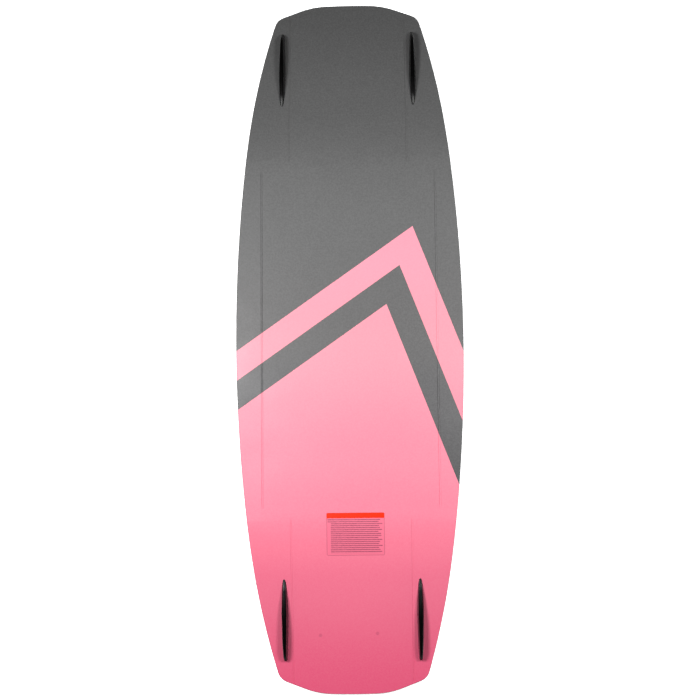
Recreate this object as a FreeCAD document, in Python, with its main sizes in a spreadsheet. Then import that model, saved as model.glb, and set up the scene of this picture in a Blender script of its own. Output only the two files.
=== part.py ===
"""Twin-tip wakeboard without bindings, lying base up on the tips of its deck.

Frame: +X across the board, +Y along it towards the nose, +Z up out of the base.
The origin is on the floor, under the middle of the board. Millimetres.

The board is a stack of sheets. Each sheet is cut from the board's outline
between two copies of one rocker surface, one above the other, so the sheets
touch all over and never overlap. Fins and their bolts stand square to the
straight, sloping part of the base near each tip.
"""
import FreeCAD
import Part

import math
import os

import Sketcher

Vector = FreeCAD.Vector

# Driving sizes: name, value, meaning. Slopes and drafts are in degrees.
SIZES = (
    ("board_length", 1340, "tip to tip"),
    ("board_width", 430, "widest, at the middle"),
    ("side_draw", 30.5, "how far each side draws in along its long arc"),
    ("end_run", 240, "from the end of the board to the end of that arc"),
    ("waist_radius", 1500, "arc that draws the side in towards the tip"),
    ("corner_radius", 27, "corner between side and shoulder"),
    ("shoulder_slope", 21.5, "straight shoulder against the board's width"),
    ("shoulder_length", 36.4, "that straight shoulder"),
    ("brow_radius", 150, "bend between shoulder and blunt tip"),
    ("blunt_radius", 1500, "nearly flat arc across the tip"),
    ("base_rocker", 60, "base at the middle over the base where the board rests"),
    ("middle_thickness", 29.4, "sheets and core at the middle"),
    ("tip_thickness", 14, "sheets and core where the board rests"),
    ("flat_half", 326, "half length of the rocker's flat middle"),
    ("bend_run", 120, "length over which the rocker bends"),
    ("chine_inset", 49, "from the board's widest edge to the chine and its groove"),
    ("chine_slope", 0.5, "fall of the base outboard of the chine"),
    ("base_skin", 1.6, "printed base sheet"),
    ("base_glass", 1.2, "laminate under the base sheet"),
    ("deck_skin", 1.0, "printed top sheet"),
    ("deck_glass", 1.2, "laminate over the top sheet"),
    ("rail_width", 14, "cast sidewall"),
    ("rail_bevel", 8, "bevel along the deck side of the sidewall"),
    ("rail_joint", 70, "from the end of the board to the joint between sidewalls"),
    ("groove_width", 4, "grooves in the base sheet"),
    ("groove_depth", 0.9, "grooves in the base sheet"),
    ("chine_groove_over", 6, "how far a chine groove runs past the rocker's flat middle"),
    ("tip_groove_inset", 102, "from the board's widest edge to a tip groove"),
    ("tip_groove_gap", 26, "from the rocker's flat middle to a tip groove"),
    ("tip_groove_margin", 34, "from the end of the board to a tip groove"),
    ("stance", 550, "between the centres of the two feet"),
    ("column_spacing", 152.4, "between the two columns of binding inserts"),
    ("row_pitch", 25.4, "between the rows of binding inserts"),
    ("thread_radius", 3, "binding and fin threads, nominal"),
    ("thread_depth", 13, "blind thread, from the deck surface"),
    ("barrel_radius", 5.5, "binding insert's barrel"),
    ("barrel_length", 15, "binding insert, from the deck surface"),
    ("flange_radius", 9, "binding insert's flange"),
    ("flange_thickness", 2, "binding insert's flange"),
    ("plate_width", 196, "binding insert plate, across"),
    ("plate_length", 124, "binding insert plate, along"),
    ("plate_thickness", 16, "binding insert plate"),
    ("fin_inset", 88, "from the board's widest edge to a fin"),
    ("fin_setback", 141, "from the end of the board to a fin's centre"),
    ("fin_length", 157, "moulded fin"),
    ("fin_width", 13, "fin where it is widest"),
    ("fin_height", 30, "fin where it is tallest"),
    ("fin_peak", 44, "tallest point from the fin's centre, towards the board's end"),
    ("fin_toe_radius", 3, "fin's end towards the middle of the board"),
    ("fin_heel_radius", 3.2, "fin's end towards the board's end"),
    ("fin_draft", 3, "taper of the fin's sides"),
    ("bolt_spread", 56, "between the two bolts of a fin"),
    ("bolt_offset", 6, "middle of the bolts from the fin's centre, towards the board's end"),
    ("bolt_gap", 0.2, "between fin bolt and sleeve, on the radius"),
    ("bolt_grip", 10, "fin bolt's length inside the fin"),
    ("sleeve_radius", 4.5, "fin bolt sleeve"),
    ("collar_radius", 8, "sleeve's collar in the deck"),
    ("collar_thickness", 2, "sleeve's collar"),
    ("collar_sink", 3.4, "from the deck surface to the collar's face"),
    ("washer_radius", 7, "fin bolt's washer"),
    ("washer_thickness", 1.2, "fin bolt's washer"),
    ("head_radius", 5, "fin bolt's head"),
    ("head_height", 1.8, "fin bolt's head"),
    ("socket_radius", 2.2, "hexagon socket, over its corners"),
    ("socket_depth", 1.2, "hexagon socket"),
    ("nut_radius", 3.9, "threaded insert in the fin"),
    ("nut_length", 11, "threaded insert in the fin"),
    ("label_width", 108, "label, across"),
    ("label_length", 79, "label, along"),
    ("label_side", 7.5, "label's centre from the centre line"),
    ("label_place", 369, "label's centre from the middle, towards the tail"),
    ("label_film", 0.2, "label's thickness"),
)
ROWS = 4            # rows of binding inserts under each foot
SPARE = 40          # how far cutting tools run past what they cut
X_AXIS = Vector(1, 0, 0)
Y_AXIS = Vector(0, 1, 0)
END_ROUND = 0.8     # how far a fin's round end stands out, as a share of its half width

doc = FreeCAD.newDocument("wakeboard")
sheet = doc.addObject("Spreadsheet::Sheet", "Sizes")
size = {}
for row, (alias, number, meaning) in enumerate(SIZES, start=1):
    sheet.set(f"A{row}", alias)
    sheet.set(f"B{row}", str(number))
    sheet.set(f"C{row}", meaning)
    sheet.setAlias(f"B{row}", alias)
    size[alias] = float(number)
doc.recompute()

# The rocker, as formulas of the sheet. A rocker is flat, then an arc, then straight
# at a slope. The half slope's tangent comes from the height that arc and straight
# gain together, by repeating an estimate that is right to a few nanometres.
REST_LINE = "(Sizes.board_length / 2 - Sizes.rail_bevel)"
STRAIGHT_RUN = f"({REST_LINE} - Sizes.flat_half - Sizes.bend_run)"
DECK_SHEETS = "(Sizes.deck_skin + Sizes.deck_glass)"
BASE_SHEETS = "(Sizes.base_skin + Sizes.base_glass)"
BASE_TOP = "(Sizes.tip_thickness + Sizes.base_rocker)"
DECK_MIDDLE = f"({BASE_TOP} - Sizes.middle_thickness)"
CHINE_LINE = "(Sizes.board_width / 2 - Sizes.chine_inset)"
FIN_CENTRE = "(Sizes.board_length / 2 - Sizes.fin_setback)"

# The long arc of a side, from its half length and how far it draws in.
SIDE_RUN = "(Sizes.board_length / 2 - Sizes.end_run)"
SIDE_RADIUS = f"(({SIDE_RUN} ^ 2 + Sizes.side_draw ^ 2) / (2 * Sizes.side_draw))"


def half_slope_tangent(height):
    """Tangent of half the slope of a rocker that gains a height."""
    estimate = "0.1"
    for _ in range(4):
        straight = f"2 * {STRAIGHT_RUN} / (1 - {estimate} ^ 2)"
        estimate = f"({height} / (Sizes.bend_run + {straight}))"
    return estimate


def slope_tangent(half_tangent):
    """Tangent of a slope, from that of its half."""
    return f"(2 * {half_tangent} / (1 - {half_tangent} ^ 2))"


BASE_HALF = half_slope_tangent("Sizes.base_rocker")
DECK_HALF = half_slope_tangent(DECK_MIDDLE)


def number_of(formula):
    """Value of a formula of the sheet."""
    found = sheet.evalExpression(formula.replace("Sizes.", ""))
    return float(getattr(found, "Value", found))


def add(kind, name, **formulas):
    """Object of the document with its properties bound to the sheet."""
    made = doc.addObject(kind, name)
    for key, formula in formulas.items():
        made.setExpression(key.replace("__", "."), formula)
    return made


def boolean(kind, name, base, tool):
    """Part::Cut or Part::Common of two objects."""
    made = doc.addObject(f"Part::{kind}", name)
    made.Base = base
    made.Tool = tool
    return made


def compound(name, pieces):
    """Several separate solids held as one object."""
    made = doc.addObject("Part::Compound", name)
    made.Links = pieces
    return made


def common(name, pieces):
    """What several objects share."""
    made = doc.addObject("Part::MultiCommon", name)
    made.Shapes = pieces
    return made


def fuse(name, pieces):
    """Several objects joined into one."""
    made = doc.addObject("Part::MultiFuse", name)
    made.Shapes = pieces
    return made


def plane_of(body, role):
    """Origin plane of a body, by its role."""
    return next(item for item in body.Origin.OriginFeatures if item.Role == role)


def new_sketch(name, role):
    """Body with an empty sketch on one of its origin planes."""
    body = doc.addObject("PartDesign::Body", name)
    sketch = body.newObject("Sketcher::SketchObject", f"{name}_sketch")
    sketch.AttachmentSupport = [(plane_of(body, role), "")]
    sketch.MapMode = "FlatFace"
    return body, sketch


def pin_sizes(sketch, drives):
    """Driving dimensions of a sketch: (kind, elements, formula) each."""
    for kind, elements, formula in drives:
        value = number_of(formula)
        if kind == "Angle":
            value = math.radians(value)
        index = sketch.addConstraint(Sketcher.Constraint(kind, *elements, value))
        name = f"size_{index}"
        sketch.renameConstraint(index, name)
        sketch.setExpression(f"Constraints.{name}", formula)


def point_on(centre, radius, angle):
    """Point of a circle; the angle is in radians from +X."""
    return centre + Vector(math.cos(angle), math.sin(angle), 0) * radius


def arc(centre, radius, start, end):
    """Arc of a circle, anticlockwise from start to end."""
    circle = Part.Circle(centre, Vector(0, 0, 1), radius)
    return Part.ArcOfCircle(circle, start, end)


def outline_arcs(inset, waist_end):
    """Arcs from a side's middle to the blunt tip, as (centre, radius, from, to).

    Each arc starts where the one before it ends and in the same direction, so
    the direction in which the waist ends settles the rest.
    """
    run = number_of(SIDE_RUN)
    side = number_of(SIDE_RADIUS)
    quarter = math.pi / 2
    slope = math.radians(size["shoulder_slope"])
    side_turn = math.asin(run / side)
    side_centre = Vector(size["board_width"] / 2 - side, 0, 0)
    waist_centre = point_on(side_centre, side - size["waist_radius"], side_turn)
    corner_centre = point_on(waist_centre, size["waist_radius"] - size["corner_radius"], waist_end)
    shoulder_end = point_on(corner_centre, size["corner_radius"], quarter - slope)
    along = Vector(-math.cos(slope), math.sin(slope), 0)
    brow_start = shoulder_end + along * size["shoulder_length"]
    brow_centre = point_on(brow_start, -size["brow_radius"], quarter - slope)
    blunt_turn = math.asin(brow_centre.x / (size["blunt_radius"] - size["brow_radius"]))
    blunt_centre = point_on(brow_centre, size["brow_radius"] - size["blunt_radius"], quarter - blunt_turn)
    return [
        (side_centre, side - inset, 0, side_turn),
        (waist_centre, size["waist_radius"] - inset, side_turn, waist_end),
        (corner_centre, size["corner_radius"] - inset, waist_end, quarter - slope),
        (brow_centre, size["brow_radius"] - inset, quarter - slope, quarter - blunt_turn),
        (blunt_centre, size["blunt_radius"] - inset, quarter - blunt_turn, quarter),
    ]


def outline_start(inset):
    """One quarter of the outline as geometry, from the side's middle to the tip's."""
    low, high = math.asin(number_of(SIDE_RUN) / number_of(SIDE_RADIUS)), 1.0
    for _ in range(50):
        middle = (low + high) / 2
        centre, radius, _start, _end = outline_arcs(0, middle)[-1]
        if centre.y + radius > size["board_length"] / 2:
            high = middle
        else:
            low = middle
    side, waist, corner, brow, blunt = outline_arcs(inset, low)
    shoulder = Part.LineSegment(
        point_on(corner[0], corner[1], corner[3]), point_on(brow[0], brow[1], brow[2])
    )
    origin = Vector(0, 0, 0)
    across = Part.LineSegment(origin, point_on(side[0], side[1], 0))
    along = Part.LineSegment(point_on(blunt[0], blunt[1], blunt[3]), origin)
    return [across, arc(*side), arc(*waist), arc(*corner), shoulder, arc(*brow), arc(*blunt), along]


def mirror_image(name, source, normal):
    """Mirror image of an object in a plane through the origin."""
    image = doc.addObject("Part::Mirroring", name)
    image.Source = source
    image.Normal = normal
    return image


def mirrored(name, source, normal):
    """An object joined to its own mirror image."""
    joined = boolean("Fuse", name, source, mirror_image(f"{name}_image", source, normal))
    joined.Refine = True
    return joined


def outline_prism(name, inset=None):
    """Prism of the board's outline, or of the outline drawn in by a named size."""
    inward = f"Sizes.{inset}" if inset else "0"
    body, sketch = new_sketch(f"{name}_quarter", "XY_Plane")
    sketch.addGeometry(outline_start(size[inset] if inset else 0.0), False)
    across, side, waist, corner, shoulder, brow, blunt, along = range(8)
    relations = [
        ("Coincident", across, 1, -1, 1),
        ("Horizontal", across),
        ("Coincident", across, 2, side, 1),
        ("PointOnObject", side, 3, -1),
        ("Tangent", side, 2, waist, 1),
        ("Tangent", waist, 2, corner, 1),
        ("Tangent", corner, 2, shoulder, 1),
        ("Tangent", shoulder, 2, brow, 1),
        ("Tangent", brow, 2, blunt, 1),
        ("PointOnObject", blunt, 3, -2),
        ("Coincident", blunt, 2, along, 1),
        ("Vertical", along),
        ("Coincident", along, 2, -1, 1),
    ]
    for relation in relations:
        sketch.addConstraint(Sketcher.Constraint(*relation))
    side_sine = f"{SIDE_RUN} / {SIDE_RADIUS}"
    side_cosine = f"(1 - Sizes.side_draw / {SIDE_RADIUS})"
    pin_sizes(sketch, [
        ("DistanceX", (-1, 1, across, 2), f"Sizes.board_width / 2 - {inward}"),
        ("DistanceY", (-1, 1, along, 1), f"Sizes.board_length / 2 - {inward}"),
        ("DistanceX", (-1, 1, side, 2),
         f"Sizes.board_width / 2 - Sizes.side_draw - {inward} * {side_cosine}"),
        ("DistanceY", (-1, 1, side, 2), f"{SIDE_RUN} - {inward} * {side_sine}"),
        ("Radius", (waist,), f"Sizes.waist_radius - {inward}"),
        ("Radius", (corner,), f"Sizes.corner_radius - {inward}"),
        ("Angle", (shoulder,), "180 - Sizes.shoulder_slope"),
        ("Distance", (shoulder,), "Sizes.shoulder_length"),
        ("Radius", (brow,), f"Sizes.brow_radius - {inward}"),
        ("Radius", (blunt,), f"Sizes.blunt_radius - {inward}"),
    ])
    pad = body.newObject("PartDesign::Pad", f"{name}_pad")
    pad.Profile = sketch
    pad.Midplane = True
    pad.setExpression("Length", f"2 * ({BASE_TOP} + {SPARE})")
    half = mirrored(f"{name}_half", body, X_AXIS)
    return mirrored(name, half, Y_AXIS)


def pinned(sketch, points, bulges=None):
    """Closed profile through points given as formulas.

    bulges holds, for the stretch that starts at a point's index, its radius as a
    formula; the stretch bends outwards when the points run clockwise.
    """
    bulges = bulges or {}
    places = [Vector(number_of(x), number_of(y), 0) for x, y in points]
    count = len(points)
    for index, start in enumerate(places):
        end = places[(index + 1) % count]
        if index in bulges:
            radius = number_of(bulges[index])
            chord = end - start
            side = Vector(chord.y, -chord.x, 0).normalize()
            depth = math.sqrt(radius * radius - chord.Length ** 2 / 4)
            crown = (start + end) / 2 - side * (radius - depth)
            sketch.addGeometry(Part.Arc(start, crown, end), False)
        else:
            sketch.addGeometry(Part.LineSegment(start, end), False)
    # An arc keeps its ends in anticlockwise order, so its first point here is
    # its end when it was drawn clockwise.
    first = [2 if index in bulges else 1 for index in range(count)]
    last = [1 if index in bulges else 2 for index in range(count)]
    drives = []
    for index, (x, y) in enumerate(points):
        after = (index + 1) % count
        sketch.addConstraint(Sketcher.Constraint("Coincident", index, last[index], after, first[after]))
        for kind, formula, place, axis in (
            ("DistanceX", x, places[index].x, -2),
            ("DistanceY", y, places[index].y, -1),
        ):
            spot = (index, first[index])
            if abs(place) < 1e-9:
                sketch.addConstraint(Sketcher.Constraint("PointOnObject", *spot, axis))
            elif place > 0:
                drives.append((kind, (-1, 1, *spot), formula))
            else:
                drives.append((kind, (*spot, -1, 1), f"-({formula})"))
    drives += [("Radius", (index,), formula) for index, formula in bulges.items()]
    pin_sizes(sketch, drives)


def profile_pad(name, role, points, bulges, length):
    """Profile on an origin plane, padded evenly to both sides of it."""
    body, sketch = new_sketch(name, role)
    pinned(sketch, points, bulges)
    pad = body.newObject("PartDesign::Pad", f"{name}_pad")
    pad.Profile = sketch
    pad.Midplane = True
    pad.setExpression("Length", length)
    return body


def rocker_block(name, half, level, limit):
    """Block that ends in a rocker surface, from its half slope and middle level."""
    far = f"(Sizes.board_length / 2 + {SPARE})"
    bend_end = "(Sizes.flat_half + Sizes.bend_run)"
    bend_level = f"{level} - Sizes.bend_run * {half}"
    end_level = f"{bend_level} - ({far} - {bend_end}) * {slope_tangent(half)}"
    points = [
        ("0", limit),
        ("0", level),
        ("Sizes.flat_half", level),
        (bend_end, bend_level),
        (far, end_level),
        (far, limit),
    ]
    radius = {2: f"Sizes.bend_run / sin(2 * atan({half}))"}
    width = f"Sizes.board_width + 2 * {SPARE}"
    return mirrored(name, profile_pad(f"{name}_half", "YZ_Plane", points, radius, width), Y_AXIS)


def chine_block(name, level):
    """Block across the board that ends in a flat middle and two falling chines."""
    far = f"(Sizes.board_width / 2 + {SPARE})"
    points = [
        ("0", f"-{SPARE}"),
        ("0", level),
        (CHINE_LINE, level),
        (far, f"{level} - ({far} - {CHINE_LINE}) * tan(Sizes.chine_slope * 1 deg)"),
        (far, f"-{SPARE}"),
    ]
    half = profile_pad(f"{name}_half", "XZ_Plane", points, None, f"Sizes.board_length + 2 * {SPARE}")
    return mirrored(name, half, X_AXIS)


def under_base(name, depth):
    """Everything that lies deeper than a formula under the base surface."""
    level = f"({BASE_TOP} - ({depth}))"
    rocker = rocker_block(f"{name}_rocker", BASE_HALF, level, f"-{SPARE}")
    return boolean("Common", name, rocker, chine_block(f"{name}_chine", level))


def over_deck(name, height):
    """Everything that lies higher than a formula over the deck surface."""
    top = f"{BASE_TOP} + {SPARE}"
    return rocker_block(name, DECK_HALF, f"({DECK_MIDDLE} + {height})", top)


def deck_rim_edges(shape):
    """Numbers of the edges where the deck surface meets the board's side."""
    found = []
    for number, edge in enumerate(shape.Edges, start=1):
        middle = edge.valueAt((edge.FirstParameter + edge.LastParameter) / 2)
        faces = shape.ancestorsOfType(edge, Part.Face)
        leans = [face.normalAt(*face.Surface.parameter(middle)).z for face in faces]
        if min(leans) < -0.9 and abs(max(leans)) < 0.3:
            found.append(number)
    return found


def box(name, x_from, x_to, y_from, y_to, z_from, z_to):
    """Box between six formulas."""
    return add(
        "Part::Box", name,
        Length=f"({x_to}) - ({x_from})",
        Width=f"({y_to}) - ({y_from})",
        Height=f"({z_to}) - ({z_from})",
        Placement__Base__x=x_from,
        Placement__Base__y=y_from,
        Placement__Base__z=z_from,
    )


def cylinder(name, radius, z_from, z_to, x="0", y="0"):
    """Upright cylinder between two levels."""
    return add(
        "Part::Cylinder", name,
        Radius=radius,
        Height=f"({z_to}) - ({z_from})",
        Placement__Base__x=x,
        Placement__Base__y=y,
        Placement__Base__z=z_from,
    )


# ---- Surfaces and outlines that the sheets share -------------------------------

base_face = under_base("base_face", "0")
base_under_skin = under_base("base_under_skin", "Sizes.base_skin")
base_under_glass = under_base("base_under_glass", BASE_SHEETS)
deck_face = over_deck("deck_face", "0")
deck_over_skin = over_deck("deck_over_skin", "Sizes.deck_skin")
deck_over_glass = over_deck("deck_over_glass", DECK_SHEETS)

board_outline = outline_prism("board_outline")
deck_outline = outline_prism("deck_outline", "rail_bevel")
core_outline = outline_prism("core_outline", "rail_width")

LOW = f"-{SPARE}"
HIGH = f"{BASE_TOP} + {SPARE}"


# ---- Fin fastenings, drawn at a fin's centre with Z out of the base ------------

BASE_TAN = slope_tangent(BASE_HALF)
DECK_TAN = slope_tangent(DECK_HALF)
BASE_SLOPE = f"(2 * atan({BASE_HALF}))"
BASE_COS = f"cos({BASE_SLOPE})"
BASE_SIN = f"sin({BASE_SLOPE})"


def bolt_place(side):
    """Bolt's distance from the fin's centre, and how deep its collar's face lies."""
    along = f"(Sizes.bolt_offset {side} Sizes.bolt_spread / 2)"
    reach = f"({REST_LINE} - {FIN_CENTRE} - {along} * {BASE_COS})"
    gap = f"(Sizes.tip_thickness + {reach} * ({BASE_TAN} - {DECK_TAN}))"
    through = f"({gap} / ({BASE_COS} + {BASE_SIN} * {DECK_TAN}))"
    return along, f"({through} - Sizes.collar_sink)"


def fastening(side, tag):
    """Sleeve, washer, bolt, fin insert and the hole for one bolt of a fin."""
    along, face = bolt_place(side)
    washer_face = f"-{face} - Sizes.washer_thickness"
    head_face = f"{washer_face} - Sizes.head_height"
    bolt_hole = "Sizes.thread_radius + Sizes.bolt_gap"
    collar_top = f"-{face} + Sizes.collar_thickness"

    def column(name, radius, z_from, z_to):
        return cylinder(f"{name}_{tag}", radius, z_from, z_to, y=along)

    barrel = column("sleeve_barrel", "Sizes.sleeve_radius", f"-{face}", "0")
    collar = column("sleeve_collar", "Sizes.collar_radius", f"-{face}", collar_top)
    sleeve_bore = column("sleeve_bore", bolt_hole, f"-{face} - 1", "1")
    sleeve = boolean("Cut", f"sleeve_{tag}", fuse(f"sleeve_blank_{tag}", [barrel, collar]), sleeve_bore)

    hole = column("hole_barrel", "Sizes.sleeve_radius", f"-{face}", f"{SPARE}")
    pocket = column("hole_pocket", "Sizes.collar_radius", f"-{face} - {SPARE}", collar_top)
    opening = fuse(f"hole_{tag}", [hole, pocket])

    ring = column("washer_ring", "Sizes.washer_radius", washer_face, f"-{face}")
    washer_bore = column("washer_bore", bolt_hole, f"{washer_face} - 1", f"-{face} + 1")
    washer = boolean("Cut", f"washer_{tag}", ring, washer_bore)

    shank = column("bolt_shank", "Sizes.thread_radius", washer_face, "Sizes.bolt_grip")
    head = column("bolt_head", "Sizes.head_radius", head_face, washer_face)
    socket = add(
        "Part::Prism", f"bolt_socket_{tag}",
        Circumradius="Sizes.socket_radius",
        Height="Sizes.socket_depth + 1",
        Placement__Base__y=along,
        Placement__Base__z=f"{head_face} - 1",
    )
    socket.Polygon = 6
    bolt = boolean("Cut", f"bolt_{tag}", fuse(f"bolt_blank_{tag}", [shank, head]), socket)

    seat = column("nut_seat", "Sizes.nut_radius", "0", "Sizes.nut_length")
    thread = column("nut_thread", "Sizes.thread_radius", "-1", "Sizes.nut_length + 1")
    nut = boolean("Cut", f"nut_{tag}", seat, thread)
    return {"sleeve": sleeve, "hole": opening, "washer": washer, "bolt": bolt, "nut": nut, "seat": seat}


fastenings = [fastening("+", "outer"), fastening("-", "inner")]


def fin_blank():
    """Leaf-shaped fin: its plan, padded with draft, trimmed by its side view."""
    half = "Sizes.fin_length / 2"
    toe = "Sizes.fin_toe_radius"
    heel = "Sizes.fin_heel_radius"
    toe_at = f"-({half} - {END_ROUND} * {toe})"
    heel_at = f"({half} - {END_ROUND} * {heel})"
    end_share = (1 + END_ROUND ** 2) / (2 * END_ROUND)
    # Side arc through both ends' corners, as wide as the fin where the corners'
    # mean width and the arc's rise add up.
    run = f"({heel_at} - ({toe_at}))"
    bulge = f"(Sizes.fin_width / 2 - ({toe} + {heel}) / 2)"
    side = f"(({run} / 2) ^ 2 + {bulge} ^ 2) / (2 * {bulge})"
    plan, sketch = new_sketch("fin_plan", "XY_Plane")
    pinned(
        sketch,
        [(f"-({heel})", heel_at), (heel, heel_at), (toe, toe_at), (f"-({toe})", toe_at)],
        {0: f"{heel} * {end_share}", 1: side, 2: f"{toe} * {end_share}", 3: side},
    )
    pad = plan.newObject("PartDesign::Pad", "fin_plan_pad")
    pad.Profile = sketch
    pad.setExpression("Length", "Sizes.fin_height + 1")
    pad.setExpression("TaperAngle", "-Sizes.fin_draft")

    rise_run = f"({half} + Sizes.fin_peak)"
    fall_run = f"({half} - Sizes.fin_peak)"
    height = "Sizes.fin_height"
    side_view = profile_pad(
        "fin_side", "YZ_Plane",
        [(f"-({half})", "0"), ("Sizes.fin_peak", height), (half, "0")],
        {
            0: f"({rise_run} ^ 2 + {height} ^ 2) / (2 * {height})",
            1: f"({fall_run} ^ 2 + {height} ^ 2) / (2 * {height})",
        },
        "2 * Sizes.fin_width",
    )
    blank = common("fin_shape", [plan, side_view])
    seats = compound("fin_seats", [made["seat"] for made in fastenings])
    return boolean("Cut", "fin_drilled", blank, seats)


def at_corner(name, pieces, side, end):
    """Copy of a fin's pieces at one corner; side and end are +1 or -1."""
    placed = compound(name, pieces)
    across = f"{side} * (Sizes.board_width / 2 - Sizes.fin_inset)"
    along = f"{end} * {FIN_CENTRE}"
    level = f"Sizes.tip_thickness + ({REST_LINE} - {FIN_CENTRE}) * {BASE_TAN}"
    turn = 0 if end > 0 else 180
    place = f"create(<<vector>>; {across}; {along}; {level})"
    lean = f"create(<<rotation>>; {turn}; 0; -{BASE_SLOPE} / 1 deg)"
    placed.setExpression("Placement", f"create(<<placement>>; {place}; {lean})")
    return placed


CORNERS = {
    "nose_left": (-1, 1),
    "nose_right": (1, 1),
    "tail_left": (-1, -1),
    "tail_right": (1, -1),
}


def at_corners(name, kind):
    """One kind of fin fastening at all four fins, as one group."""
    pieces = [made[kind] for made in fastenings]
    copies = [at_corner(f"{name}_{corner}", pieces, *spot) for corner, spot in CORNERS.items()]
    return compound(name, copies)


# ---- Binding inserts, in the flat middle of the deck ---------------------------

def binding_inserts(name, end):
    """Flanged threaded inserts under one foot, in two columns, and their blank."""
    groups = {"barrel": [], "flange": [], "thread": []}
    flange_from = f"{DECK_MIDDLE} + {DECK_SHEETS}"
    levels = {
        "barrel": ("Sizes.barrel_radius", DECK_MIDDLE, f"{DECK_MIDDLE} + Sizes.barrel_length"),
        "flange": ("Sizes.flange_radius", flange_from, f"{flange_from} + Sizes.flange_thickness"),
        "thread": ("Sizes.thread_radius", f"{DECK_MIDDLE} - 1", f"{DECK_MIDDLE} + Sizes.thread_depth"),
    }
    for column in (-1, 1):
        for line in range(ROWS):
            across = f"{column} * Sizes.column_spacing / 2"
            along = f"{end} * Sizes.stance / 2 + {line - (ROWS - 1) / 2} * Sizes.row_pitch"
            for part, (radius, z_from, z_to) in levels.items():
                number = len(groups[part])
                groups[part].append(
                    cylinder(f"{name}_{part}_{number}", radius, z_from, z_to, across, along)
                )
    barrels = compound(f"{name}_barrels", groups["barrel"])
    flanges = compound(f"{name}_flanges", groups["flange"])
    threads = compound(f"{name}_threads", groups["thread"])
    blank = boolean("Fuse", f"{name}_blank", barrels, flanges)
    return boolean("Cut", name, blank, threads), blank


def insert_plate(name, end):
    """Dense plate in the core that spreads the load of one foot's inserts."""
    floor = f"{DECK_MIDDLE} + {DECK_SHEETS}"
    middle = f"{end} * Sizes.stance / 2"
    return box(
        name,
        "-Sizes.plate_width / 2", "Sizes.plate_width / 2",
        f"{middle} - Sizes.plate_length / 2", f"{middle} + Sizes.plate_length / 2",
        floor, f"{floor} + Sizes.plate_thickness",
    )


nose_inserts, nose_insert_blank = binding_inserts("nose_binding_inserts", 1)
tail_inserts, tail_insert_blank = binding_inserts("tail_binding_inserts", -1)
nose_plate_blank = insert_plate("nose_plate_blank", 1)
tail_plate_blank = insert_plate("tail_plate_blank", -1)
insert_blanks = compound("insert_blanks", [nose_insert_blank, tail_insert_blank])
plate_blanks = compound("plate_blanks", [nose_plate_blank, tail_plate_blank])
fin_holes = at_corners("fin_holes", "hole")


# ---- Sheets, core and sidewalls ------------------------------------------------

def sheet_between(name, outline, outer, inner, tools):
    """Part of the outline's prism between two surfaces, less its holes."""
    blank = boolean("Cut", f"{name}_blank", common(f"{name}_slab", [outline, outer]), inner)
    return drilled(name, blank, tools)


def drilled(name, blank, tools):
    """An object less several tools, one after the other."""
    for number, tool in enumerate(tools[:-1]):
        blank = boolean("Cut", f"{name}_step_{number}", blank, tool)
    return boolean("Cut", name, blank, tools[-1])


def groove_tool():
    """Strips that cut the four straight pairs of grooves into the base sheet."""
    strips = []
    half = "Sizes.groove_width / 2"
    chine_end = "(Sizes.flat_half + Sizes.chine_groove_over)"
    tip_line = "(Sizes.board_width / 2 - Sizes.tip_groove_inset)"
    start = "(Sizes.flat_half + Sizes.tip_groove_gap)"
    end = "(Sizes.board_length / 2 - Sizes.tip_groove_margin)"
    runs = (
        (CHINE_LINE, f"-{chine_end}", chine_end),
        (tip_line, start, end),
        (tip_line, f"-{end}", f"-{start}"),
    )
    for side in (-1, 1):
        for line, y_from, y_to in runs:
            middle = f"{side} * {line}"
            name = f"groove_strip_{len(strips)}"
            strips.append(box(name, f"{middle} - {half}", f"{middle} + {half}", y_from, y_to, LOW, HIGH))
    floor = under_base("groove_floor", "Sizes.groove_depth")
    return boolean("Cut", "grooves", compound("groove_strips", strips), floor)


def sidewall_ring():
    """Ring of cast urethane between the sheets, bevelled along the deck's rim."""
    blank = common("rail_blank", [board_outline, base_under_glass, deck_face])
    blank.Refine = True
    doc.recompute()
    bevelled = doc.addObject("Part::Chamfer", "rail_bevelled")
    bevelled.Base = blank
    reach = size["rail_bevel"]
    bevelled.Edges = [(number, reach, reach) for number in deck_rim_edges(blank.Shape)]
    hollow = boolean("Cut", "rail_hollow", bevelled, core_outline)
    sheets = boolean("Cut", "rail_rebate", common("rail_rebate_slab", [deck_outline, deck_face]), deck_over_glass)
    return boolean("Cut", "rail_ring", hollow, sheets)


def sidewalls():
    """The ring in four pieces: one side and one end, and their mirror images."""
    ring = sidewall_ring()
    edge = f"Sizes.board_width / 2 + {SPARE}"
    end = f"Sizes.board_length / 2 + {SPARE}"
    joint = "Sizes.board_length / 2 - Sizes.rail_joint"
    side_span = box("side_span", "0", edge, f"-({joint})", joint, LOW, HIGH)
    end_span = box("end_span", f"-({edge})", edge, joint, end, LOW, HIGH)
    right = boolean("Common", "right_sidewall", ring, side_span)
    nose = boolean("Common", "nose_sidewall", ring, end_span)
    return {
        "right_sidewall": right,
        "left_sidewall": mirror_image("left_sidewall", right, X_AXIS),
        "nose_sidewall": nose,
        "tail_sidewall": mirror_image("tail_sidewall", nose, Y_AXIS),
    }


def info_label():
    """Printed film on the base near the tail."""
    x_middle = "Sizes.label_side"
    y_middle = "-Sizes.label_place"
    patch = box(
        "label_patch",
        f"{x_middle} - Sizes.label_width / 2", f"{x_middle} + Sizes.label_width / 2",
        f"{y_middle} - Sizes.label_length / 2", f"{y_middle} + Sizes.label_length / 2",
        LOW, HIGH,
    )
    surface = under_base("label_surface", "-Sizes.label_film")
    return boolean("Cut", "info_label", common("label_slab", [patch, surface]), base_face)


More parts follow.
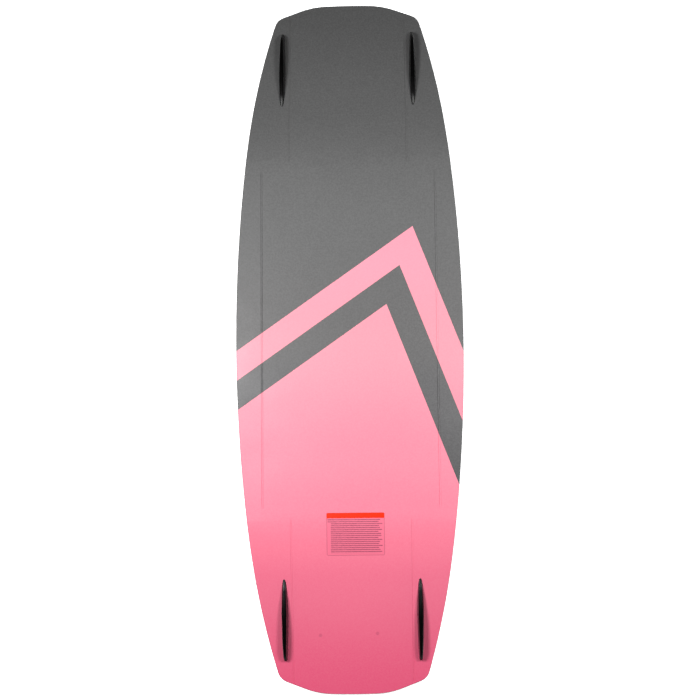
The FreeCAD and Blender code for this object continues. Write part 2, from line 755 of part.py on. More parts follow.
base_sheet = sheet_between("base_sheet", board_outline, base_face, base_under_skin, [fin_holes, groove_tool()])
base_laminate = sheet_between("base_laminate", board_outline, base_under_skin, base_under_glass, [fin_holes])
top_sheet = sheet_between("top_sheet", deck_outline, deck_face, deck_over_skin, [fin_holes, insert_blanks])
deck_laminate = sheet_between(
    "deck_laminate", deck_outline, deck_over_skin, deck_over_glass, [fin_holes, insert_blanks]
)
core_blank = common("core_blank", [core_outline, base_under_glass, deck_over_glass])
foam_core = drilled("foam_core", core_blank, [fin_holes, plate_blanks])

fin = fin_blank()
nodes = {
    "base_sheet": base_sheet,
    "base_laminate": base_laminate,
    "foam_core": foam_core,
    "deck_laminate": deck_laminate,
    "top_sheet": top_sheet,
    **sidewalls(),
    "nose_insert_plate": drilled("nose_insert_plate", nose_plate_blank, [nose_insert_blank]),
    "tail_insert_plate": drilled("tail_insert_plate", tail_plate_blank, [tail_insert_blank]),
    "nose_binding_inserts": nose_inserts,
    "tail_binding_inserts": tail_inserts,
    "info_label": info_label(),
    "fin_bolt_sleeves": at_corners("fin_bolt_sleeves", "sleeve"),
    "fin_bolt_washers": at_corners("fin_bolt_washers", "washer"),
    "fin_bolts": at_corners("fin_bolts", "bolt"),
    "fin_inserts": at_corners("fin_inserts", "nut"),
}
for corner, spot in CORNERS.items():
    nodes[f"{corner}_fin"] = at_corner(f"{corner}_fin", [fin], *spot)

doc.recompute()

for item in doc.Objects:
    if "Invalid" in item.State or "Error" in item.State:
        raise RuntimeError(f"{item.Name} did not build: {item.State}")
for name, item in nodes.items():
    item.Label = name
    if item.Shape.isNull() or not item.Shape.isValid() or not item.Shape.Solids:
        raise RuntimeError(f"{name} has no valid solid")

os.makedirs("parts", exist_ok=True)
for name, item in nodes.items():
    item.Shape.exportStep(f"parts/{name}.step")
    print(f"{name}: {len(item.Shape.Solids)} solids, {item.Shape.Volume / 1000:.1f} cm3")
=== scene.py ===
"""Looks of a twin-tip wakeboard lying base up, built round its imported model.

The printed base sheet, the cast rail, the fins and the label are modelled here
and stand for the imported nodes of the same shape. Sheets, core and fastenings
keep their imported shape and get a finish. Lengths are in metres.
"""

import logging
import math
from collections.abc import Callable
from dataclasses import dataclass, field, replace
from enum import Enum

import bmesh
import bpy
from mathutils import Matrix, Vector


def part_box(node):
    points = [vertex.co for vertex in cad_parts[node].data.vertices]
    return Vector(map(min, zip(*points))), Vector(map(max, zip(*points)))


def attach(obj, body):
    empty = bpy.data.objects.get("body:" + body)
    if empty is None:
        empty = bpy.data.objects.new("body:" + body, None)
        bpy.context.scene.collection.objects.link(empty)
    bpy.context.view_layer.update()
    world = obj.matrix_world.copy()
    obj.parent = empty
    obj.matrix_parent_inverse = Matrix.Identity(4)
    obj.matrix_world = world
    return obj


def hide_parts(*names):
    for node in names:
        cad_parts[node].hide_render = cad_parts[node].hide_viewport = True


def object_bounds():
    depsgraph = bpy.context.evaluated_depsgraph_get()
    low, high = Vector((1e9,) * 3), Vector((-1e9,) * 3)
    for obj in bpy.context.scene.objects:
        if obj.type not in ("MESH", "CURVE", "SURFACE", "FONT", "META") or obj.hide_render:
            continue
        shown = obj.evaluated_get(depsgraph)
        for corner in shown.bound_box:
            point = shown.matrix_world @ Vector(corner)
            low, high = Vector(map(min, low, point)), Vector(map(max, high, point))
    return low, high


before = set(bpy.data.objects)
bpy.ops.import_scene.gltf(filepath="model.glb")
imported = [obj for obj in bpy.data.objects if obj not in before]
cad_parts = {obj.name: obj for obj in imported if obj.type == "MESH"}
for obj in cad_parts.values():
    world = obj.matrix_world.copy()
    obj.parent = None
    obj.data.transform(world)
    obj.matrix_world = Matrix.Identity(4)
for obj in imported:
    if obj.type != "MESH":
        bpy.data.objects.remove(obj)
CAD_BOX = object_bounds()
MM = 0.001
UP = Vector((0.0, 0.0, 1.0))
BASE_SHEETS = 2.8 * MM      # base sheet and the laminate under it
DECK_SHEETS = 2.2 * MM      # top sheet and its laminate
TIP_THICKNESS = 14 * MM     # board where its ends rest on the floor
REST_INSET = 8 * MM         # from a tip to the line where the board rests
CHINE_INSET = 49 * MM       # from the widest place of a side to the chine
FIN_INSET = 88 * MM         # from there to the middle of a fin
FIN_SETBACK = 141 * MM      # from a tip to the middle of a fin
SPARE_WIDTH = 60 * MM       # surplus width of a surface before it is trimmed
log = logging.getLogger("wakeboard")

Piece = bpy.types.Object
Socket = bpy.types.NodeSocket
Colour = tuple[float, float, float, float]


class Carve(Enum):
    """What a cutting tool does to a piece."""

    KEEP_INSIDE = "INTERSECT"
    CUT_AWAY = "DIFFERENCE"


class End(Enum):
    """End of the board, as the sign of Y."""

    NOSE = 1
    TAIL = -1


class Side(Enum):
    """Side of the board, as the sign of X."""

    LEFT = -1
    RIGHT = 1


# ---- Modelling steps that several pieces share ---------------------------------

def put_down() -> None:
    """Leave edit mode and select nothing."""
    if bpy.context.mode != "OBJECT":
        bpy.ops.object.mode_set(mode="OBJECT")
    bpy.ops.object.select_all(action="DESELECT")


def take_up(piece: Piece) -> None:
    """Select one piece alone and make it the active one."""
    put_down()
    piece.select_set(True)
    bpy.context.view_layer.objects.active = piece


def open_up(piece: Piece) -> None:
    """Open one piece alone for editing."""
    take_up(piece)
    bpy.ops.object.mode_set(mode="EDIT")


def select_all() -> None:
    """Select the whole of the open mesh."""
    bpy.ops.mesh.select_all(action="SELECT")


def start(name: str, primitive: Callable[..., object], **place: object) -> Piece:
    """Add a primitive, move its place into its mesh and open it for editing.

    Args:
        name: Name of the piece.
        primitive: Operator that adds the primitive.
        place: Sizes and place for the operator.

    Returns:
        The new piece, in edit mode with all of it selected.
    """
    put_down()
    primitive(**place)
    piece = bpy.context.object
    piece.name = name
    piece.data.name = name
    bpy.ops.object.transform_apply(location=True, rotation=True, scale=True)
    bpy.ops.object.mode_set(mode="EDIT")
    bpy.ops.mesh.select_mode(type="VERT")
    select_all()
    return piece


def start_point(name: str, place: Vector) -> Piece:
    """Piece that is a single selected vertex, open for editing."""
    piece = start(name, bpy.ops.mesh.primitive_plane_add, size=1.0, location=place)
    bpy.ops.mesh.merge(type="CENTER")
    return piece


def pick(level: str, test: Callable[[object], bool]) -> int:
    """Select the elements of the open mesh that pass a test, and no others.

    Args:
        level: VERT, EDGE or FACE.
        test: Says of one element whether it is wanted.

    Returns:
        How many elements are selected.
    """
    bpy.ops.mesh.select_mode(type=level)
    bpy.ops.mesh.select_all(action="DESELECT")
    opened = bpy.context.object.data
    shape = bmesh.from_edit_mesh(opened)
    elements = {"VERT": shape.verts, "EDGE": shape.edges, "FACE": shape.faces}[level]
    wanted = [element for element in elements if test(element)]
    for element in wanted:
        element.select_set(True)
    shape.select_flush_mode()
    bmesh.update_edit_mesh(opened)
    return len(wanted)


def extrude(shift: Vector) -> None:
    """Extrude the selected edges or faces along a shift."""
    bpy.ops.mesh.extrude_region_move(TRANSFORM_OT_translate={"value": shift})


def spin(steps: int, angle: float, centre: Vector, axis: Vector) -> None:
    """Sweep the selection round an axis, anticlockwise as seen from its tip."""
    bpy.ops.mesh.spin(steps=steps, angle=-angle, center=centre, axis=axis)


def tidy_normals() -> None:
    """Merge doubled vertices of the open mesh and turn its faces outwards."""
    select_all()
    bpy.ops.mesh.remove_doubles(threshold=0.01 * MM)
    bpy.ops.mesh.normals_make_consistent(inside=False)
    if bmesh.from_edit_mesh(bpy.context.object.data).calc_volume(signed=True) < 0:
        bpy.ops.mesh.flip_normals()


def join(pieces: list[Piece]) -> Piece:
    """Join pieces into the first of them."""
    take_up(pieces[0])
    for piece in pieces[1:]:
        piece.select_set(True)
    bpy.ops.object.join()
    return pieces[0]


def apply_modifier(piece: Piece, kind: str, **settings: object) -> None:
    """Add a modifier with settings to a piece and apply it."""
    take_up(piece)
    modifier = piece.modifiers.new(kind.lower(), kind)
    for key, value in settings.items():
        setattr(modifier, key, value)
    bpy.ops.object.modifier_apply(modifier=modifier.name)


def carve(piece: Piece, tool: Piece, how: Carve) -> None:
    """Cut a piece with a closed tool and discard the tool."""
    put_down()
    apply_modifier(piece, "BOOLEAN", operation=how.value, solver="EXACT", object=tool)
    bpy.data.objects.remove(tool)


def mirror(piece: Piece, across: bool, along: bool) -> None:
    """Join a piece to its mirror images and weld them where they meet."""
    apply_modifier(
        piece, "MIRROR", use_axis=(across, along, False), use_clip=True, merge_threshold=0.02 * MM,
    )


def smooth(piece: Piece, angle: float = 30.0, weighted: bool = True) -> None:
    """Shade a piece smooth but for edges sharper than an angle in degrees.

    Args:
        piece: Piece to shade.
        angle: Edges at least this sharp stay sharp.
        weighted: Whether large faces keep their own direction beside small ones.
    """
    take_up(piece)
    bpy.ops.object.shade_smooth_by_angle(angle=math.radians(angle))
    if weighted:
        apply_modifier(piece, "WEIGHTED_NORMAL", keep_sharp=True, weight=60)
    put_down()


# ---- Forms of the board --------------------------------------------------------

@dataclass(frozen=True)
class Plan:
    """Outline of the board seen from above: arcs that run smoothly into each other.

    A quarter runs from the middle of a side to the middle of a tip along a long
    side arc, a waist, a corner, a straight shoulder, a brow and a blunt tip.
    """

    half_length: float
    half_width: float
    side_draw: float = 30.5 * MM
    end_run: float = 240 * MM
    waist_radius: float = 1500 * MM
    corner_radius: float = 27 * MM
    shoulder_slope: float = math.radians(21.5)
    shoulder_length: float = 36.4 * MM
    brow_radius: float = 150 * MM
    blunt_radius: float = 1500 * MM

    def centres(self, waist_end: float) -> list[tuple[Vector, float, float]]:
        """Centre, start angle and end angle of the five arcs of a quarter.

        Args:
            waist_end: Direction from the waist's centre to its end, in radians.

        Returns:
            The arcs in order; the straight shoulder lies between the third and fourth.
        """
        def toward(angle: float) -> Vector:
            return Vector((math.cos(angle), math.sin(angle), 0.0))

        run = self.half_length - self.end_run
        side_radius = (run ** 2 + self.side_draw ** 2) / (2 * self.side_draw)
        side_turn = math.asin(run / side_radius)
        side = Vector((self.half_width - side_radius, 0.0, 0.0))
        waist = side + toward(side_turn) * (side_radius - self.waist_radius)
        corner = waist + toward(waist_end) * (self.waist_radius - self.corner_radius)
        square = math.pi / 2 - self.shoulder_slope
        shoulder_end = corner + toward(square) * self.corner_radius
        shoulder_end += toward(square + math.pi / 2) * self.shoulder_length
        brow = shoulder_end - toward(square) * self.brow_radius
        blunt_start = math.pi / 2 - math.asin(brow.x / (self.blunt_radius - self.brow_radius))
        blunt = brow + toward(blunt_start) * (self.brow_radius - self.blunt_radius)
        return [
            (side, 0.0, side_turn),
            (waist, side_turn, waist_end),
            (corner, waist_end, square),
            (brow, square, blunt_start),
            (blunt, blunt_start, math.pi / 2),
        ]

    def settled(self) -> list[tuple[Vector, float, float]]:
        """Arcs of the quarter whose tip lies at the board's half length."""
        low, high = self.centres(0.2)[0][2], 1.0
        for _ in range(50):
            middle = (low + high) / 2
            tip = self.centres(middle)[-1][0].y + self.blunt_radius
            low, high = (low, middle) if tip > self.half_length else (middle, high)
        return self.centres(low)

    def wire(self, name: str, inset: float = 0.0) -> Piece:
        """Closed wire of the outline at the floor, drawn in by an inset, open for editing."""
        wire = start_point(name, Vector((self.half_width - inset, 0.0, 0.0)))
        brow = 3
        for number, ((centre, begin, end), steps) in enumerate(zip(self.settled(), (36, 16, 10, 8, 8))):
            if number == brow:
                lean = Vector((-math.cos(self.shoulder_slope), math.sin(self.shoulder_slope), 0.0))
                bpy.ops.mesh.extrude_vertices_move(
                    TRANSFORM_OT_translate={"value": lean * self.shoulder_length}
                )
            spin(steps, end - begin, centre, UP)
        put_down()
        mirror(wire, across=True, along=True)
        open_up(wire)
        select_all()
        bpy.ops.mesh.remove_doubles(threshold=0.02 * MM)
        select_all()
        return wire

    def prism(self, name: str, reach: float = 0.2) -> Piece:
        """Upright closed solid of the outline, with a reach above and below the floor."""
        prism = self.wire(name)
        bpy.ops.transform.translate(value=UP * -reach)
        bpy.ops.mesh.edge_face_add()
        extrude(UP * 2 * reach)
        tidy_normals()
        put_down()
        return prism


@dataclass(frozen=True)
class Rocker:
    """Surface that is flat in the middle, bends, and runs straight to both ends.

    Attributes:
        level: Height of its flat middle.
        drop: How far it falls from there to the line where the board rests.
        width: Its whole width.
        rest_line: Distance from the middle to that line.
        spare: How far the surface runs on past it.
    """

    level: float
    drop: float
    width: float
    rest_line: float
    flat_half: float = 326 * MM
    bend_run: float = 120 * MM
    spare: float = 30 * MM

    @property
    def slope(self) -> float:
        """Slope of the straight ends, in radians."""
        straight = self.rest_line - self.flat_half - self.bend_run
        low, high = 0.0, 1.0
        for _ in range(50):
            middle = (low + high) / 2
            fall = self.bend_run * math.tan(middle / 2) + straight * math.tan(middle)
            low, high = (low, middle) if fall > self.drop else (middle, high)
        return low

    @property
    def bend_radius(self) -> float:
        """Radius of the bend between the flat and a straight end."""
        return self.bend_run / math.sin(self.slope)

    def height(self, y: float) -> float:
        """Height of the surface at a place along the board."""
        past = abs(y) - self.flat_half
        if past <= 0:
            return self.level
        if past <= self.bend_run:
            return self.level - self.bend_radius + math.sqrt(self.bend_radius ** 2 - past ** 2)
        bent = self.bend_run * math.tan(self.slope / 2)
        return self.level - bent - (past - self.bend_run) * math.tan(self.slope)

    def surface(self, name: str) -> Piece:
        """The surface itself, without chines, left open for editing."""
        middle = (0.0, self.flat_half / 2, self.level)
        surface = start(name, bpy.ops.mesh.primitive_plane_add, size=1.0, location=middle)
        bpy.ops.transform.resize(value=(self.width, self.flat_half, 1.0), center_override=middle)
        pick("EDGE", lambda edge: all(point.co.y > self.flat_half - MM for point in edge.verts))
        centre = Vector((0.0, self.flat_half, self.level - self.bend_radius))
        spin(32, -self.slope, centre, Vector((1.0, 0.0, 0.0)))
        run = self.rest_line - self.flat_half - self.bend_run + self.spare
        extrude(Vector((0.0, run, -run * math.tan(self.slope))))
        put_down()
        mirror(surface, across=False, along=True)
        open_up(surface)
        return surface

    def block(self, name: str, height: float) -> Piece:
        """Closed solid between the surface and its copy at a height over or under it."""
        block = self.surface(name)
        select_all()
        extrude(UP * height)
        tidy_normals()
        put_down()
        return block


@dataclass(frozen=True)
class BaseForm:
    """Rocker surface of the base with the two falling chines along its sides.

    Attributes:
        rocker: The surface between the chines.
        chine_line: Distance from the centre line to a chine.
        chine_fall: Fall of the base outboard of it, in radians.
    """

    rocker: Rocker
    chine_line: float
    chine_fall: float = math.radians(0.5)

    def trim(self, block: Piece, lift: float) -> None:
        """Cut both chines off a closed block whose top is the rocker, lifted.

        Args:
            block: Closed solid under the rocker surface.
            lift: How far its top lies over the base.
        """
        open_up(block)
        for side in Side:
            select_all()
            bpy.ops.mesh.bisect(
                plane_co=(side.value * self.chine_line, 0.0, self.rocker.level + lift),
                plane_no=(side.value * math.sin(self.chine_fall), 0.0, math.cos(self.chine_fall)),
                use_fill=True, clear_outer=True,
            )
        put_down()

    def solid(self, name: str, lift: float, depth: float = 120 * MM) -> Piece:
        """Closed solid under the base, with chines.

        Args:
            name: Name of the piece.
            lift: How far its top lies over the base; negative where it lies under it.
            depth: How deep the solid reaches.
        """
        block = replace(self.rocker, level=self.rocker.level + lift).block(name, -depth)
        self.trim(block, lift)
        return block

    def sheet(self, name: str, lift: float, thickness: float) -> Piece:
        """Closed sheet of even thickness whose top lies over the base by a lift."""
        sheet = self.solid(name, lift)
        open_up(sheet)
        pick("FACE", lambda face: face.normal.z < 0.5)
        bpy.ops.mesh.delete(type="FACE")
        select_all()
        extrude(UP * -thickness)
        tidy_normals()
        put_down()
        return sheet

    def height(self, x: float, y: float) -> float:
        """Height of the base at a place of the plan."""
        chine = self.rocker.level - max(abs(x) - self.chine_line, 0.0) * math.tan(self.chine_fall)
        return min(self.rocker.height(y), chine)


# ---- Finishes ------------------------------------------------------------------

def colour(code: str) -> Colour:
    """Linear colour of an sRGB hex code."""
    parts = [int(code[place:place + 2], 16) / 255 for place in (1, 3, 5)]
    linear = [part / 12.92 if part <= 0.04045 else ((part + 0.055) / 1.055) ** 2.4 for part in parts]
    return (*linear, 1.0)


@dataclass
class Finish:
    """A node material under construction.

    Attributes:
        name: Name of the material.
        shader: Values for the Principled shader's own sockets.
    """

    name: str
    shader: dict[str, object] = field(default_factory=dict)

    def __post_init__(self) -> None:
        """Make the material with its shader and the place on the piece."""
        self.material = bpy.data.materials.new(self.name)
        self.material.use_nodes = True
        self.tree = self.material.node_tree
        self.bsdf = self.tree.nodes["Principled BSDF"]
        for key, value in self.shader.items():
            self.bsdf.inputs[key].default_value = value
        self.place = self.add("ShaderNodeTexCoord").outputs["Object"]

    def add(self, kind: str, links: dict | None = None, **settings: object) -> bpy.types.Node:
        """Add a node.

        Args:
            kind: Type of the node.
            links: Value or source socket for each input, by name or number.
            settings: Properties of the node.

        Returns:
            The node.
        """
        node = self.tree.nodes.new(kind)
        for key, value in settings.items():
            setattr(node, key, value)
        for key, value in (links or {}).items():
            if isinstance(value, bpy.types.NodeSocket):
                self.tree.links.new(value, node.inputs[key])
            else:
                node.inputs[key].default_value = value
        return node

    def math(self, operation: str, *values: object) -> Socket:
        """Result of a Math node on values or sockets."""
        return self.add("ShaderNodeMath", dict(enumerate(values)), operation=operation).outputs[0]

    def blend(self, share: object, first: object, second: object) -> Socket:
        """Colour between two colours by a share."""
        node = self.add("ShaderNodeMix", {0: share, 6: first, 7: second}, data_type="RGBA")
        return node.outputs[2]

    def grain(self, size_mm: float, detail: float = 2.0, stretch: tuple = (1, 1, 1)) -> Socket:
        """Noise whose features are about a size in millimetres, as a share."""
        mapped = self.add("ShaderNodeMapping", {"Vector": self.place, "Scale": stretch})
        noise = self.add(
            "ShaderNodeTexNoise",
            {"Vector": mapped.outputs[0], "Scale": 1.0 / (size_mm * MM), "Detail": detail},
        )
        return noise.outputs["Fac"]

    def carry(self, value: Socket, low: float, high: float, first: float, last: float) -> Socket:
        """A value between low and high carried to one between first and last."""
        ends = {"From Min": low, "From Max": high, "To Min": first, "To Max": last}
        return self.add("ShaderNodeMapRange", {"Value": value, **ends}).outputs[0]

    def spread(self, noise: Socket, first: float, last: float) -> Socket:
        """A noise, which keeps near its middle, carried to a range of values."""
        return self.carry(noise, 0.3, 0.7, first, last)

    def roughness(self, low: float, high: float, size_mm: float) -> None:
        """Roughness that wanders between two values over a size."""
        self.tree.links.new(self.spread(self.grain(size_mm), low, high), self.bsdf.inputs["Roughness"])

    def bump(self, height: Socket, depth_mm: float, strength: float = 1.0) -> None:
        """Relief of a depth in millimetres from a height between 0 and 1."""
        node = self.add(
            "ShaderNodeBump", {"Height": height, "Distance": depth_mm * MM, "Strength": strength},
        )
        self.tree.links.new(node.outputs[0], self.bsdf.inputs["Normal"])

    def paint(self, shade: Socket) -> None:
        """Send a colour to the shader."""
        self.tree.links.new(shade, self.bsdf.inputs["Base Color"])

    def tint(self, share: Socket, first: str, second: str) -> None:
        """Send the colour between two hex codes by a share to the shader."""
        self.paint(self.blend(share, colour(first), colour(second)))

    def ramp(self, share: Socket, stops: tuple, interpolation: str) -> Socket:
        """Colour of a share along stops, each a place and a hex code."""
        node = self.add("ShaderNodeValToRGB", {0: share})
        elements = node.color_ramp.elements
        node.color_ramp.interpolation = interpolation
        elements[0].position, elements[1].position = stops[0][0], stops[-1][0]
        for place, _code in stops[1:-1]:
            elements.new(place)
        for element, (_place, code) in zip(elements, stops):
            element.color = colour(code)
        return node.outputs[0]


@dataclass(frozen=True)
class Artwork:
    """Two-colour print of the base: a grey nose field, straight chevrons, a pink tail field.

    The chevrons point to the nose with their peaks to the right of the centre
    line. Each colour is lighter near the middle of the board and darker towards
    the tips: partly the print's own fade, partly painted shade and sheen.

    Attributes:
        left_reach: Where the first left leg crosses the centre line.
        right_reach: Where the first right leg's line crosses the centre line.
        left_pitch: Spacing of the left legs along the board.
        right_pitch: Spacing of the right legs along the board.
        left_lean: Rise of a left leg for each metre across.
        right_lean: Fall of a right leg for each metre across.
        greys: Stops of the grey ink's fade, from tail to nose, which carry painted shade and sheen as
            well; pinks likewise.
    """

    half_length: float
    left_reach: float = 126.5 * MM
    right_reach: float = 530 * MM
    left_pitch: float = 56.8 * MM
    right_pitch: float = 142 * MM
    left_lean: float = 0.70
    right_lean: float = 2.6
    # Painted shade and sheen are part of these stops: lighter near the middle, darker towards the tips.
    greys: tuple = (
        (0.3, "#363536"), (0.42, "#424142"), (0.5, "#494848"),
        (0.68, "#4E4E4E"), (0.84, "#474747"), (1.0, "#3E3E3E"),
    )
    pinks: tuple = (
        (0.0, "#C44968"), (0.16, "#C75C74"), (0.21, "#C96177"), (0.26, "#CB657A"),
        (0.33, "#CD6B7E"), (0.5, "#D27B88"), (0.62, "#D37F8E"),
    )

    def draw(self, finish: Finish) -> Socket:
        """Lay the print out in a finish and return its colour."""
        split = finish.add("ShaderNodeSeparateXYZ", {0: finish.place})
        across, along = split.outputs["X"], split.outputs["Y"]
        left_line = finish.math("SUBTRACT", along, finish.math("MULTIPLY", across, self.left_lean))
        right_line = finish.math("MULTIPLY_ADD", across, self.right_lean, along)
        left_gap = finish.math("SUBTRACT", self.left_reach, left_line)
        right_gap = finish.math("SUBTRACT", self.right_reach, right_line)
        left = finish.math("DIVIDE", left_gap, self.left_pitch)
        right = finish.math("DIVIDE", right_gap, self.right_pitch)
        row = finish.math("MINIMUM", left, right)
        grey, pink = "#000000", "#FFFFFF"
        bands = ((0.0, grey), (0.0002, pink), (1 / 3, grey), (2 / 3, pink))
        # The fade along the board carries painted shade and sheen as well as the print's own fade.
        travel = finish.carry(along, -self.half_length, self.half_length, 0.0, 1.0)
        return finish.blend(
            finish.ramp(finish.math("DIVIDE", row, 3.0), bands, "CONSTANT"),
            finish.ramp(travel, self.greys, "EASE"), finish.ramp(travel, self.pinks, "EASE"),
        )


def printed_polyester(art: Artwork, marks: list[Vector]) -> Finish:
    """Satin printed sheet, with a faint ripple in its reflections.

    Args:
        art: The print.
        marks: Places of the small round spots where the colour turns faintly darker.
    """
    finish = Finish("printed_polyester", {"Specular IOR Level": 0.2})
    ink = art.draw(finish)
    for mark in marks:
        away = finish.add("ShaderNodeVectorMath", {0: finish.place, 1: mark}, operation="DISTANCE")
        share = finish.carry(away.outputs["Value"], 2.4 * MM, 4.2 * MM, 0.22, 0.0)
        ink = finish.blend(share, ink, colour("#4A1424"))
    # A trace of mottle keeps the wide colour fields from looking like flat paint.
    finish.paint(finish.blend(finish.spread(finish.grain(3.0, 4.0), 0.0, 0.02), ink, colour("#FFFFFF")))
    finish.roughness(0.36, 0.42, 60.0)
    finish.bump(finish.grain(2.2, 2.0), 0.02, 0.15)
    return finish


def shaded_trimmed_edge(art: Artwork) -> Finish:
    """Cut and filed edge of the printed sheet, duller than its face and a little darker with painted
    shade.
    """
    finish = Finish("shaded_trimmed_edge", {"Specular IOR Level": 0.3})
    # The blend towards near black is painted shade on the rounded rim.
    finish.paint(finish.blend(finish.spread(finish.grain(1.5, 3.0), 0.3, 0.5), art.draw(finish),
                              colour("#2A2729")))
    finish.roughness(0.5, 0.65, 6.0)
    finish.bump(finish.grain(0.7, 2.0), 0.03, 0.4)
    return finish


def cast_urethane() -> Finish:
    """Charcoal rail with a fine, dull grain and slightly lighter scuffs."""
    finish = Finish("cast_urethane", {"Specular IOR Level": 0.45})
    finish.tint(finish.spread(finish.grain(14.0, 5.0), 0.0, 0.35), "#232326", "#37373B")
    finish.roughness(0.42, 0.6, 9.0)
    finish.bump(finish.grain(0.8, 3.0), 0.05, 0.6)
    return finish


def moulded_nylon(toe: float) -> Finish:
    """Black fin, dull along its crest, with a low sheen on its flanks and near its toe.

    Args:
        toe: Distance of the toes from the middle of the board.
    """
    finish = Finish("moulded_nylon")
    finish.tint(finish.grain(6.0, 3.0), "#020202", "#050505")
    split = finish.add("ShaderNodeSeparateXYZ", {0: finish.place})
    past_toe = finish.math("SUBTRACT", finish.math("ABSOLUTE", split.outputs["Y"]), toe)
    normal = finish.add("ShaderNodeTexCoord").outputs["Normal"]
    facing = finish.add("ShaderNodeSeparateXYZ", {0: normal})
    toe_sheen = finish.carry(past_toe, 14 * MM, 24 * MM, 0.14, 0.02)
    flank_sheen = finish.carry(finish.math("ABSOLUTE", facing.outputs["X"]), 0.8, 0.97, 0.02, 0.16)
    finish.tree.links.new(finish.math("MAXIMUM", toe_sheen, flank_sheen),
                          finish.bsdf.inputs["Specular IOR Level"])
    finish.roughness(0.26, 0.36, 12.0)
    finish.bump(finish.grain(1.6, 2.0), 0.01, 0.1)
    return finish


def deck_film() -> Finish:
    """Satin charcoal top sheet with a fine leather-like emboss that grips."""
    finish = Finish("deck_film", {"Coat Weight": 0.15, "Coat Roughness": 0.3})
    finish.tint(finish.spread(finish.grain(25.0, 4.0), 0.0, 0.5), "#1F1F22", "#2B2B2F")
    cells = finish.add(
        "ShaderNodeTexVoronoi", {"Vector": finish.place, "Scale": 1.0 / (1.4 * MM)},
        feature="SMOOTH_F1",
    )
    finish.roughness(0.42, 0.52, 30.0)
    finish.bump(cells.outputs["Distance"], 0.08, 0.5)
    return finish


def glass_laminate() -> Finish:
    """Cured glass cloth: dull green resin with the weave's small squares in relief."""
    finish = Finish("glass_laminate", {"Coat Weight": 0.3, "Coat Roughness": 0.2})
    weave = finish.add("ShaderNodeTexChecker", {"Vector": finish.place, "Scale": 1.0 / (2.2 * MM)})
    finish.tint(finish.math("MULTIPLY", weave.outputs["Fac"], 0.5), "#646A5B", "#7D8271")
    finish.roughness(0.25, 0.4, 8.0)
    finish.bump(weave.outputs["Fac"], 0.05, 0.4)
    return finish


def closed_cell_foam() -> Finish:
    """Cream core foam with small closed cells."""
    finish = Finish("closed_cell_foam", {"Specular IOR Level": 0.3})
    cells = finish.add("ShaderNodeTexVoronoi", {"Vector": finish.place, "Scale": 1.0 / (1.1 * MM)})
    finish.tint(cells.outputs["Distance"], "#CDBD8C", "#E6DAB0")
    finish.roughness(0.8, 0.92, 5.0)
    finish.bump(cells.outputs["Distance"], 0.2, 0.7)
    return finish


def fibre_board() -> Finish:
    """Dense brown board whose fibres run across the deck."""
    finish = Finish("fibre_board", {"Specular IOR Level": 0.35})
    fibres = finish.grain(1.2, 4.0, (0.12, 1, 1))
    finish.tint(fibres, "#7A6B45", "#A5926A")
    finish.roughness(0.6, 0.75, 4.0)
    finish.bump(fibres, 0.06, 0.5)
    return finish


def metal(name: str, dark: str, light: str, low: float, high: float) -> Finish:
    """Turned metal: a bright tone with fine tool rings and slightly uneven polish.

    Args:
        name: Name of the finish.
        dark: Colour in the tool marks.
        light: Colour between them.
        low: Lowest roughness.
        high: Highest roughness.
    """
    finish = Finish(name, {"Metallic": 1.0})
    marks = finish.grain(0.35, 3.0, (1, 1, 6))
    finish.tint(marks, dark, light)
    finish.roughness(low, high, 3.0)
    finish.bump(marks, 0.01, 0.3)
    return finish


@dataclass(frozen=True)
class LabelPrint:
    """Blank information label: an orange band, a thin border and plain ruled bars.

    Attributes:
        low: Lowest corner of the label.
        high: Highest corner of the label.
        band: Height of the orange band.
        border: Width of the border line.
        pitch: Spacing of the bars.
        bar: Height of a bar.
        margin: Space to the left of the bars below the first two, and about that to their right.
        outdent: Space to the left of the first two bars.
        foot: Space under the lowest bar.
    """

    low: Vector
    high: Vector
    band: float = 10.0 * MM
    border: float = 0.9 * MM
    pitch: float = 3.7 * MM
    bar: float = 1.9 * MM
    margin: float = 7.8 * MM
    outdent: float = 2.0 * MM
    foot: float = 4.0 * MM

    def draw(self, finish: Finish, ground: Socket) -> Socket:
        """Lay the label's print over the colour that shows through the film.

        Args:
            finish: Finish that is being made.
            ground: Colour under the clear film.

        Returns:
            The label's colour.
        """
        calc = finish.math
        split = finish.add("ShaderNodeSeparateXYZ", {0: finish.place})
        from_left = calc("SUBTRACT", split.outputs["X"], self.low.x)
        from_right = calc("SUBTRACT", self.high.x, split.outputs["X"])
        from_top = calc("SUBTRACT", self.high.y, split.outputs["Y"])
        from_foot = calc("SUBTRACT", split.outputs["Y"], self.low.y)
        nearest = calc("MINIMUM", calc("MINIMUM", from_left, from_right), from_foot)
        edge = calc("LESS_THAN", nearest, self.border)
        under_band = calc("SUBTRACT", from_top, self.band + self.pitch * 0.5)
        row = calc("FLOOR", calc("DIVIDE", under_band, self.pitch))
        inside_row = calc("SUBTRACT", under_band, calc("MULTIPLY", row, self.pitch))
        wave = calc("SINE", calc("MULTIPLY", row, 2.3))
        ragged = calc("MULTIPLY_ADD", wave, self.margin * 0.5, self.margin)
        lower = calc("GREATER_THAN", row, 1.5)
        indent = calc("MULTIPLY_ADD", lower, self.margin - self.outdent, self.outdent)
        bars = calc("LESS_THAN", inside_row, self.bar)
        for limit in (
            calc("GREATER_THAN", from_left, indent),
            calc("GREATER_THAN", from_right, ragged),
            calc("GREATER_THAN", under_band, 0.0),
            calc("GREATER_THAN", from_foot, self.foot),
        ):
            bars = calc("MULTIPLY", bars, limit)
        # An uneven strength keeps the bars from looking ruled by machine.
        bars = calc("MULTIPLY", bars, finish.spread(finish.grain(2.6, 2.0), 0.55, 0.85))
        ink = calc("MAXIMUM", bars, calc("MULTIPLY", edge, 0.55))
        printed = finish.blend(ink, ground, colour("#6E3446"))
        header = calc("LESS_THAN", from_top, self.band)
        return finish.blend(header, printed, colour("#EE2400"))


